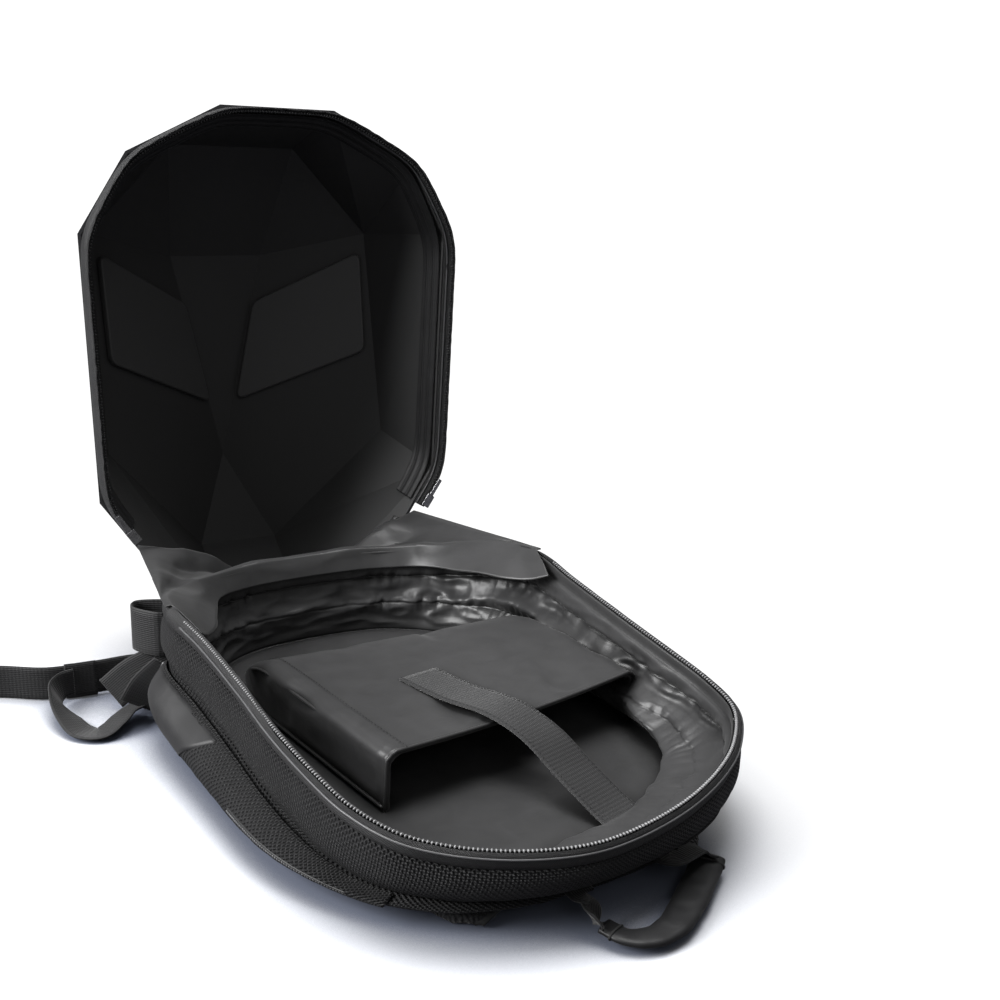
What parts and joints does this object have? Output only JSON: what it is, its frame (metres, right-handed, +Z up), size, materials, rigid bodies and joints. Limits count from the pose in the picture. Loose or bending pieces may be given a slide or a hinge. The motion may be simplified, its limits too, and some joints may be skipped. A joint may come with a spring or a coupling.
{
  "type": "hard-shell backpack",
  "caption": "Backpack lying open on its back: soft zipped base with an inner sleeve and webbing, and a faceted hard lid with LED screens standing up behind it.",
  "frame": {"origin": "middle of the back pad's underside, on which the open bag rests", "axes": "+Z up from the floor, +Y from the carry handle towards the hinge, +X towards the side without the loose webbing"},
  "size_m": [0.4761, 0.7002, 0.4503],
  "materials": {
    "ballistic_fabric": "ribbed ballistic weave",
    "satin_lining": "satin nylon",
    "webbing": "woven strap",
    "pad_mesh": "air mesh",
    "shell_plastic": "satin moulded plastic",
    "screen_gloss": "high gloss",
    "zip_coil": "satin nylon coil",
    "slider_metal": "blackened",
    "smooth_wrap": "smooth wrapped fabric"
  },
  "bodies": {
    "root": {"outer_fabric": "ballistic_fabric", "lining": "satin_lining", "base_zip_tape": "webbing", "base_zip_chain": "zip_coil", "side_pocket_left": "ballistic_fabric", "side_pocket_right": "ballistic_fabric", "back_pad": "pad_mesh", "shoulder_strap_left": "pad_mesh", "shoulder_strap_right": "pad_mesh", "laptop_sleeve": "satin_lining", "retention_strap": "webbing", "strap_tail": "webbing", "strap_keeper": "webbing", "floor_loop": "webbing", "upper_anchor": "webbing", "lower_anchor": "webbing", "side_loop": "webbing", "loop_tail": "webbing", "handle_tail_left": "webbing", "handle_tail_right": "webbing", "handle_grip": "smooth_wrap", "hinge_gusset": "satin_lining", "lid_shell": "shell_plastic", "led_screen_left": "screen_gloss", "led_screen_right": "screen_gloss", "led_housing_left": "shell_plastic", "led_housing_right": "shell_plastic", "lid_zip_tape": "webbing", "lid_zip_chain": "zip_coil", "zip_slider_left": "slider_metal", "zip_slider_right": "slider_metal"}
  },
  "joints": []
}
